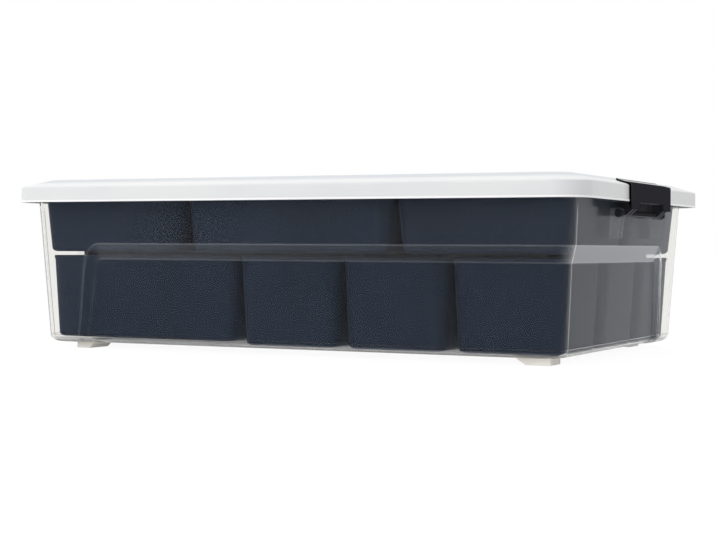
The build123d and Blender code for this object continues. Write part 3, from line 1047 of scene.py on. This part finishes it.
    def ears(self, draft: MeshDraft, pin: tuple[float, float]) -> None:
        """Adds the four ears, each an upright plate with an open eye for the latch's pin.

        Args:
            draft: What they are added to.
            pin: The pin's place in length and height.
        """
        neck, reach = self.neck_half, self.ear_reach
        foot, head = pin[1] + reach - self.ear_height, pin[1] + reach
        start = math.asin(neck / self.eye_radius)
        turns = np.linspace(start, 2 * math.pi - start, 14)
        eye = np.array(pin) + self.eye_radius * np.stack([np.cos(turns), np.sin(turns)], -1)
        wall_foot = TUB_HALF[0] + self.offset(foot) - SIZES.tub_wall / 2
        wall_head = TUB_HALF[0] + self.offset(head) - SIZES.tub_wall / 2
        outline = np.concatenate([
            np.array([(wall_head, head), (pin[0] + reach / 2, head), (pin[0] + reach, pin[1] + neck)]),
            eye,
            np.array([(pin[0] + reach, pin[1] - neck), (pin[0] + reach / 2, foot), (wall_foot, foot)]),
        ])
        for end in (-1, 1):
            for side in (-1, 1):
                middle = side * self.ear_spacing / 2
                grid = plate_prism(outline, middle - self.ear_thickness / 2,
                                   middle + self.ear_thickness / 2, 1, self.ear_bevel)
                draft.grid(grid if end > 0 else mirror_x(grid))

    def make(self, pin: tuple[float, float]) -> None:
        """Builds and dresses the tub.

        Args:
            pin: Place in length and height of the latch's pin, which the ears hold.
        """
        grid, marks = self.shell()
        shell = MeshDraft().grid(grid).build("tub_shell", smooth_angle=60.0, marks=marks)
        dress(shell, self.material, "tub")
        fittings = MeshDraft()
        self.feet(fittings)
        feet_points = fittings.count
        self.ears(fittings, pin)
        in_feet = np.arange(fittings.count) < feet_points
        marks = {"line": np.where(in_feet, self.foot_line, self.ear_line)}
        dress(fittings.build("tub_feet_and_ears", marks=marks), self.material, "tub")


@dataclass
class Lid:
    """The frosted lid: a beaded skirt, a sloping border and a plateau with a shallow stacking well."""

    material: bpy.types.Material
    bead_height: float = 1.6 * MM
    bead_step: float = 0.5 * MM
    locator_inset: float = 17.5 * MM
    locator_wall: float = 1.8 * MM
    locator_drop: float = 4.0 * MM
    well_draft: float = 1.2 * MM
    well_draft_below: float = 1.0 * MM
    centre_inset: float = 90.0 * MM
    corner_shrink: float = 0.35
    least_corner: float = 12.0 * MM
    corner_steps: int = 18
    side_count: int = 8
    side_margin: float = 0.08

    def profile(self) -> np.ndarray:
        """Section from the middle of the underside, out to the skirt's foot, up and over the top.

        Returns:
            Rows of inset from the lid's edge, height and corner radius.
        """
        wall, edge, top = SIZES.lid_wall, LID_EDGE, LID_TOP
        border, well = SIZES.border_width, SIZES.border_width + SIZES.well_inset
        well_floor = top - SIZES.well_depth
        step, bead = self.bead_step, self.bead_height
        locator_in = self.locator_inset + self.locator_wall
        locator_low = lid_surface(self.locator_inset, wall) - self.locator_drop
        centre = self.centre_inset

        def corner(inset: float) -> float:
            """Corner radius at an inset, which never shrinks to a point."""
            return max(SIZES.lid_corner - inset * self.corner_shrink, self.least_corner)

        # Inset, height and round of each bend, the round in millimetres.
        section = [
            (centre, well_floor - wall, 0.0),
            (well - wall, well_floor - wall, 0.8),
            (well - wall - self.well_draft_below, top - wall, 0.8),
            (border, top - wall, 1.5),
            (locator_in, lid_surface(locator_in, wall), 0.4),
            (locator_in, locator_low, 0.4),
            (self.locator_inset, locator_low, 0.4),
            (self.locator_inset, lid_surface(self.locator_inset, wall), 0.4),
            (wall, lid_surface(wall, wall), 1.2),
            (wall, SKIRT_BOTTOM, 0.5),
            (0.0, SKIRT_BOTTOM, 0.5),
            (0.0, SKIRT_BOTTOM + bead, 0.5),
            (step, SKIRT_BOTTOM + bead + step, 0.5),
            (step, edge, 2.4),
            (border, top, 3.0),
            (well, top, 0.8),
            (well + self.well_draft, well_floor, 0.8),
            (centre, well_floor, 0.0),
        ]
        points = [(inset, height, corner(inset)) for inset, height, _ in section]
        return rounded_path(points, [radius * MM for _, _, radius in section], 5)

    def make(self) -> None:
        """Builds and dresses the lid."""
        outline = Outline(self.corner_steps, spread(self.side_count, self.side_margin))
        inset, height, corner = self.profile().T
        plan = outline.rings(LID_HALF[0] - inset, LID_HALF[1] - inset, corner)
        piece = MeshDraft().grid(raised(plan, height)).build("lid_shell")
        dress(piece, self.material, "lid")


@dataclass(frozen=True)
class BinForm:
    """What tells one kind of bin from another.

    It holds its lift on ribs, its walls' lean, its ribs' places along it, how far they stop short of
    its base's edge, and whether a rib runs along it.
    """

    lift: float
    lean: float
    rib_offsets: tuple[float, ...] = ()
    rib_end: float = 0.0
    long_rib: bool = False


UPPER_LIFT, UPPER_LEAN, UPPER_RIB_END = 3.6 * MM, math.tan(math.radians(6.0)), 4.0 * MM


class BinKind(Enum):
    """The kinds of bin, named as their nodes are."""

    LOWER_DOUBLE = BinForm(3.0 * MM, SIZES.draft, (-55.0 * MM, 55.0 * MM), 38.0 * MM)
    LOWER_SINGLE = BinForm(0.0, SIZES.draft)
    UPPER_MIDDLE = BinForm(UPPER_LIFT, UPPER_LEAN, (-80.0 * MM, 0.0, 80.0 * MM), UPPER_RIB_END, True)
    UPPER_END = BinForm(UPPER_LIFT, UPPER_LEAN, (-34.0 * MM, 34.0 * MM), UPPER_RIB_END, True)


@dataclass
class Bin:
    """One open bin with a rim band, a rounded base and, where the node has them, ribs below it."""

    node: str
    form: BinForm
    material: bpy.types.Material
    rib_width: float = 3.0 * MM
    rib_root: float = 1.6 * MM
    rib_bevel: float = 0.4 * MM
    centre_inset: float = 12.0 * MM
    least_corner: float = 2.0 * MM
    corner_steps: int = 8
    side_count: int = 4
    side_margin: float = 0.1

    def profile(self, depth: float) -> np.ndarray:
        """Section from the middle of the underside, out, up, over the rim and down inside.

        Args:
            depth: Height from the underside to the top of the rim.

        Returns:
            Rows of inset from the rim's outside, height above the underside and corner radius.
        """
        flare, wall, rim = SIZES.bin_rim_flare, SIZES.bin_wall, SIZES.bin_rim_height
        lean = self.form.lean * (depth - rim)
        inside = flare + wall + self.form.lean * (depth - rim - wall)
        centre = flare + lean + self.centre_inset
        # Inset, height and round of each bend, the round in millimetres.
        section = [
            (centre, 0.0, 0.0),
            (flare + lean, 0.0, SIZES.bin_base_round / MM),
            (flare, depth - rim, 0.5),
            (0.0, depth - rim, 0.5),
            (0.0, depth, 0.8),
            (flare + wall, depth, 0.8),
            (inside, wall, (SIZES.bin_base_round - wall) / MM),
            (centre + wall, wall, 0.0),
        ]
        start = SIZES.bin_corner + flare
        points = [(inset, height, max(start - inset, self.least_corner)) for inset, height, _ in section]
        return rounded_path(points, [radius * MM for _, _, radius in section], 4)

    def rib_outline(self, place: float, low: float, base: float) -> np.ndarray:
        """A rib's end: a bar from the bin's lowest level up into its floor, clockwise.

        Args:
            place: The rib's middle.
            low: Its lowest level.
            base: The underside that it joins.

        Returns:
            Four points.
        """
        left, right, head = place - self.rib_width / 2, place + self.rib_width / 2, base + self.rib_root
        return np.array([(right, head), (right, low), (left, low), (left, head)])

    def make(self) -> None:
        """Builds and dresses the bin."""
        low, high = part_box(self.node)
        half = ((high.x - low.x) / 2, (high.y - low.y) / 2)
        centre = ((high.x + low.x) / 2, (high.y + low.y) / 2)
        base = low.z + self.form.lift
        outline = Outline(self.corner_steps, spread(self.side_count, self.side_margin))
        inset, height, corner = self.profile(high.z - base).T
        plan = outline.rings(half[0] - inset, half[1] - inset, corner) + np.array(centre)
        draft = MeshDraft().grid(raised(plan, base + height))
        lean = self.form.lean * (high.z - base - SIZES.bin_rim_height) + SIZES.bin_rim_flare
        reach = half[1] - lean - self.form.rib_end
        for offset in self.form.rib_offsets:
            outline = self.rib_outline(centre[0] + offset, low.z, base)
            draft.grid(plate_prism(outline, centre[1] - reach, centre[1] + reach, 1, self.rib_bevel))
        if self.form.long_rib:
            reach = half[0] - lean - SIZES.bin_base_round / 2
            outline = self.rib_outline(centre[1], low.z, base)
            grid = plate_prism(outline, centre[0] - reach, centre[0] + reach, 0, self.rib_bevel)
            draft.grid(grid[:, ::-1])
        dress(draft.build(f"{self.node}_shell"), self.material, self.node)


@dataclass
class Latch:
    """One swing latch: a bent plate with a hooked flap, cheeks and webs, and a moulded pin."""

    end: int
    material: bpy.types.Material
    pin: tuple[float, float]
    width: float = 133.0 * MM
    wall: float = 2.2 * MM
    flap_wall: float = 1.8 * MM
    lip_length: float = 1.4 * MM
    lip_rise: float = 0.7 * MM
    edge_draw: float = 0.8 * MM
    edge_share: float = 0.3
    edge_strip: float = 6.0 * MM
    arch_half: float = 46.0 * MM
    arch_ramp: float = 8.0 * MM
    arch_rise: float = 6.3 * MM
    arch_fade: float = 9.0 * MM
    foot_strip: float = 1.0 * MM
    cheek_spacing: float = 115.0 * MM
    web_place: float = 47.0 * MM
    web_wall: float = 1.6 * MM
    top_gap: float = 0.4 * MM
    bevel: float = 0.3 * MM
    boss_wall: float = 1.2 * MM
    pin_radius: float = 2.6 * MM
    head_radius: float = 4.0 * MM
    head_length: float = 2.6 * MM
    head_bevel: float = 0.6 * MM
    pole_radius: float = 0.3 * MM

    def bend(self) -> np.ndarray:
        """Closed section of plate and flap in length and height, with rounded bends.

        Returns:
            The section's points, one row each.
        """
        plate_out, plate_in = LATCH_HIGH.x, LATCH_HIGH.x - self.wall
        low, tip = LATCH_FOOT, LATCH_LOW.x
        gap, thick = -SIZES.seat_gap, -(SIZES.seat_gap + self.flap_wall)
        thin, lip = thick + self.lip_rise, tip + self.lip_length

        def surface(x: float, below: float) -> float:
            """Height over the border at a place along the length."""
            return lid_surface(LID_HALF[0] - x, below)

        middle = (plate_in + plate_out) / 2
        points = [
            (middle, low), (plate_out, low), (plate_out, surface(plate_out, thick)),
            (lip + self.lip_rise / 2, surface(lip, thin)), (lip, surface(lip, thick)),
            (tip, surface(tip, thick)), (tip, surface(tip, gap)),
            (plate_in, surface(plate_in, gap)), (plate_in, low), (middle, low),
        ]
        rounds_mm = (0.0, 0.6, 1.6, 0.2, 0.2, 0.5, 0.6, 1.0, 0.6, 0.0)
        return rounded_path(points, [radius * MM for radius in rounds_mm], 5)[:-1]

    def plate(self, draft: MeshDraft) -> None:
        """Adds the plate and flap: the section carried across, its foot raised in the arch.

        The section is drawn in a little at both side edges. The arch's rise climbs over a short ramp
        by three times the square of the way less twice its cube, and it fades out up the plate.

        Args:
            draft: What they are added to.
        """
        section = self.bend()
        half, draw = self.width / 2, self.edge_draw
        thin = draw * self.edge_share
        ramp = np.linspace(-self.arch_half, -self.arch_half + self.arch_ramp, 7)
        edge = np.concatenate([[-half, -half + thin, -half + draw, -half + self.edge_strip], ramp])
        flat = self.arch_half - 1.5 * self.arch_ramp
        across = np.concatenate([edge, np.linspace(-flat, flat, 5), -edge[::-1]])
        drawn = np.zeros(len(across))
        drawn[:2] = draw, thin
        drawn[-2:] = thin, draw
        way = np.clip((self.arch_half - np.abs(across)) / self.arch_ramp, 0.0, 1.0)
        climb = way ** 2 * (3 - 2 * way) * self.arch_rise
        above_foot = section[:, 1] - section[:, 1].min()
        fade = np.clip(1.0 - above_foot / self.arch_fade, 0.0, 1.0)
        fade = np.where(above_foot < self.foot_strip, 1.0, fade)
        along = np.roll(section, -1, axis=0) - np.roll(section, 1, axis=0)
        inward = np.stack([-along[:, 1], along[:, 0]], -1)
        inward = inward / np.maximum(np.linalg.norm(inward, axis=1, keepdims=True), TINY)
        flat_rows = section[None] + inward[None] * drawn[:, None, None]
        place = np.broadcast_to(across[:, None], flat_rows.shape[:2])
        rows = np.stack([flat_rows[..., 0], place, flat_rows[..., 1] + climb[:, None] * fade[None]], -1)
        draft.grid(at_end(rows[:, ::-1], self.end))

    def cheeks(self, draft: MeshDraft) -> None:
        """Adds the two cheeks and two inner webs that join the plate to the pin.

        Args:
            draft: What they are added to.
        """
        boss = self.pin_radius + self.boss_wall
        plate = LATCH_HIGH.x - self.wall / 2
        top, low = SKIRT_BOTTOM - self.top_gap, LATCH_FOOT
        turns = np.radians(np.linspace(-60, -210, 8))
        arc = np.array(self.pin) + boss * np.stack([np.cos(turns), np.sin(turns)], -1)
        outline = np.concatenate([[(plate, top), (plate, low)], arc, [(self.pin[0] - boss / 2, top)]])
        cheek = (self.cheek_spacing / 2 - self.wall / 2, self.wall)
        for middle, thick in (cheek, (self.web_place, self.web_wall)):
            for side in (-1, 1):
                place = side * middle
                grid = plate_prism(outline, place - thick / 2, place + thick / 2, 1, self.bevel)
                draft.grid(at_end(grid, self.end))

    def back_wall(self, draft: MeshDraft) -> None:
        """Adds the inner wall that closes the latch from cheek to cheek, behind the finger arch.

        Args:
            draft: What it is added to.
        """
        x, half = self.pin[0] - self.pin_radius / 2, self.wall / 3
        low, high = self.pin[1] - self.pin_radius, SKIRT_BOTTOM - self.top_gap
        outline = np.array([(x - half, low), (x - half, high), (x + half, high), (x + half, low)])
        reach = self.cheek_spacing / 2 - self.wall / 2
        draft.grid(at_end(plate_prism(outline, -reach, reach, 1, self.bevel), self.end))

    def pin_bar(self, draft: MeshDraft) -> None:
        """Adds the pin with a rounded head beyond each ear, turned about its own line.

        Args:
            draft: What it is added to.
        """
        head, bevel, radius = LATCH_HIGH.y, self.head_bevel, self.head_radius
        neck = head - self.head_length
        far_half = np.array([
            (neck, self.pin_radius), (neck, radius - bevel), (neck + bevel, radius),
            (head - bevel, radius), (head, radius - bevel), (head, self.pole_radius),
        ])
        profile = np.concatenate([far_half[::-1] * (-1, 1), far_half])
        turns = np.linspace(0, 2 * math.pi, 24, endpoint=False)[None]
        place, arm = profile[:, :1], profile[:, 1:]
        grid = np.stack([self.pin[0] + arm * np.sin(turns), place + 0 * turns,
                         self.pin[1] + arm * np.cos(turns)], -1)
        draft.grid(at_end(grid, self.end))

    def make(self) -> None:
        """Builds and dresses the latch."""
        node = "latch_right" if self.end > 0 else "latch_left"
        draft = MeshDraft()
        self.plate(draft)
        self.cheeks(draft)
        self.back_wall(draft)
        self.pin_bar(draft)
        dress(draft.build(f"{node}_moulding"), self.material, node)


@dataclass(frozen=True)
class Lamp:
    """One large soft lamp: its name, place, width in metres and power in watts."""

    name: str
    place: Vec3
    size: float
    power: float


@dataclass
class Studio:
    """White studio: a pale floor, soft lamps and a camera where the photograph's stood."""

    focal: float = 79.72
    turn: float = 26.12
    tilt: float = 0.823
    roll: float = 0.294
    aim_right: float = -0.00738
    aim_up: float = 0.07893
    distance: float = 1.6388
    sensor: float = 36.0
    sight: float = 60.0
    world_level: float = 0.62
    floor_half: float = 12.0
    floor_tone: Colour = (0.95, 0.95, 0.95, 1.0)
    floor_roughness: float = 0.9
    glow: float = 1.05
    glow_share: float = 0.9
    lamp_aim: Vec3 = (0.0, 0.0, 80.0 * MM)
    lamps: tuple[Lamp, ...] = (
        Lamp("front_lamp", (-0.9, -2.2, 1.4), 1.6, 26.0),
        Lamp("top_lamp", (0.6, 0.4, 2.4), 2.0, 13.0),
    )

    def camera(self) -> None:
        """Places the camera by its turn round the box, its tilt and its roll."""
        turn, tilt, roll = (math.radians(value) for value in (self.turn, self.tilt, self.roll))
        ahead = Vector((-math.sin(turn) * math.cos(tilt), math.cos(turn) * math.cos(tilt), -math.sin(tilt)))
        right = Vector((math.cos(turn), math.sin(turn), 0.0))
        above = right.cross(ahead)
        leaned = right * math.cos(roll) + above * math.sin(roll)
        upright = above * math.cos(roll) - right * math.sin(roll)
        target = right * self.aim_right + Vector((0.0, 0.0, self.aim_up))
        data = bpy.data.cameras.new("camera")
        data.lens, data.sensor_width, data.clip_end = self.focal, self.sensor, self.sight
        item = bpy.data.objects.new("camera", data)
        item.matrix_world = Matrix.Translation(target - ahead * self.distance) @ Matrix(
            (leaned, upright, -ahead)).transposed().to_4x4()
        bpy.context.scene.collection.objects.link(item)
        bpy.context.scene.camera = item

    def world(self) -> None:
        """White surroundings, plain for the camera and a little softer as light."""
        world = bpy.data.worlds.new("studio")
        world.use_nodes = True
        nodes = Nodes(world.node_tree)
        back = world.node_tree.nodes["Background"]
        nodes.join(back.inputs["Color"], WHITE)
        nodes.join(back.inputs["Strength"], self.world_level + nodes.seen() * (1.0 - self.world_level))
        bpy.context.scene.world = world

    def floor(self) -> None:
        """A wide white floor that keeps a soft shadow of the box."""
        draft = MeshDraft()
        draft.points.append(np.array([(-1, -1, 0), (1, -1, 0), (1, 1, 0), (-1, 1, 0)]) * self.floor_half)
        draft.faces.append([0, 1, 2, 3])
        piece = draft.build("studio_floor")
        graph = Graph("studio_floor")
        graph.set(Base_Color=self.floor_tone, Roughness=self.floor_roughness)
        glow = graph.node("ShaderNodeEmission", {}, {"Color": WHITE, "Strength": self.glow})
        graph.finish(graph.seen() * self.glow_share, graph.shader, glow)
        piece.data.materials.append(graph.material)

    def hang(self, lamp: Lamp) -> None:
        """Adds one lamp, which looks at the middle of the box and isn't seen through clear plastic.

        Args:
            lamp: The lamp.
        """
        data = bpy.data.lights.new(lamp.name, "AREA")
        data.size, data.energy = lamp.size, lamp.power
        item = bpy.data.objects.new(lamp.name, data)
        item.location = lamp.place
        aim = Vector(self.lamp_aim) - Vector(lamp.place)
        item.rotation_euler = aim.to_track_quat("-Z", "Y").to_euler()
        item.visible_transmission = False
        bpy.context.scene.collection.objects.link(item)

    def make(self) -> None:
        """Builds the whole studio."""
        self.camera()
        self.world()
        self.floor()
        for lamp in self.lamps:
            self.hang(lamp)
        bpy.context.scene.view_settings.view_transform = "Standard"


def bins(material: bpy.types.Material) -> list[Bin]:
    """Every bin, in the order of the nodes' names, with the kind that its name gives.

    Args:
        material: The bins' material.

    Returns:
        The bins.
    """
    found = []
    for node in sorted(name for name in frame["nodes"] if name.startswith("bin_")):
        kind = node.removeprefix("bin_").rsplit("_", 1)[0].upper()
        found.append(Bin(node, BinKind[kind].value, material))
    return found


def main() -> None:
    """Builds the studio and the box, and reports each piece."""
    logging.basicConfig(level=logging.INFO, format="%(message)s")
    joint = next(item for item in frame["joints"] if item["name"] == "latch_right_swing")
    pin = (joint["pos_m"][0], joint["pos_m"][2])
    Studio().make()
    clear, frosted = ClearFinish().make(), FrostedFinish().make()
    navy, black = BinFinish().make(), LatchFinish().make()
    Tub(clear).make(pin)
    Lid(frosted).make()
    for one in bins(navy):
        one.make()
    for end in (1, -1):
        Latch(end, black, pin).make()


if __name__ == "__main__":
    main()
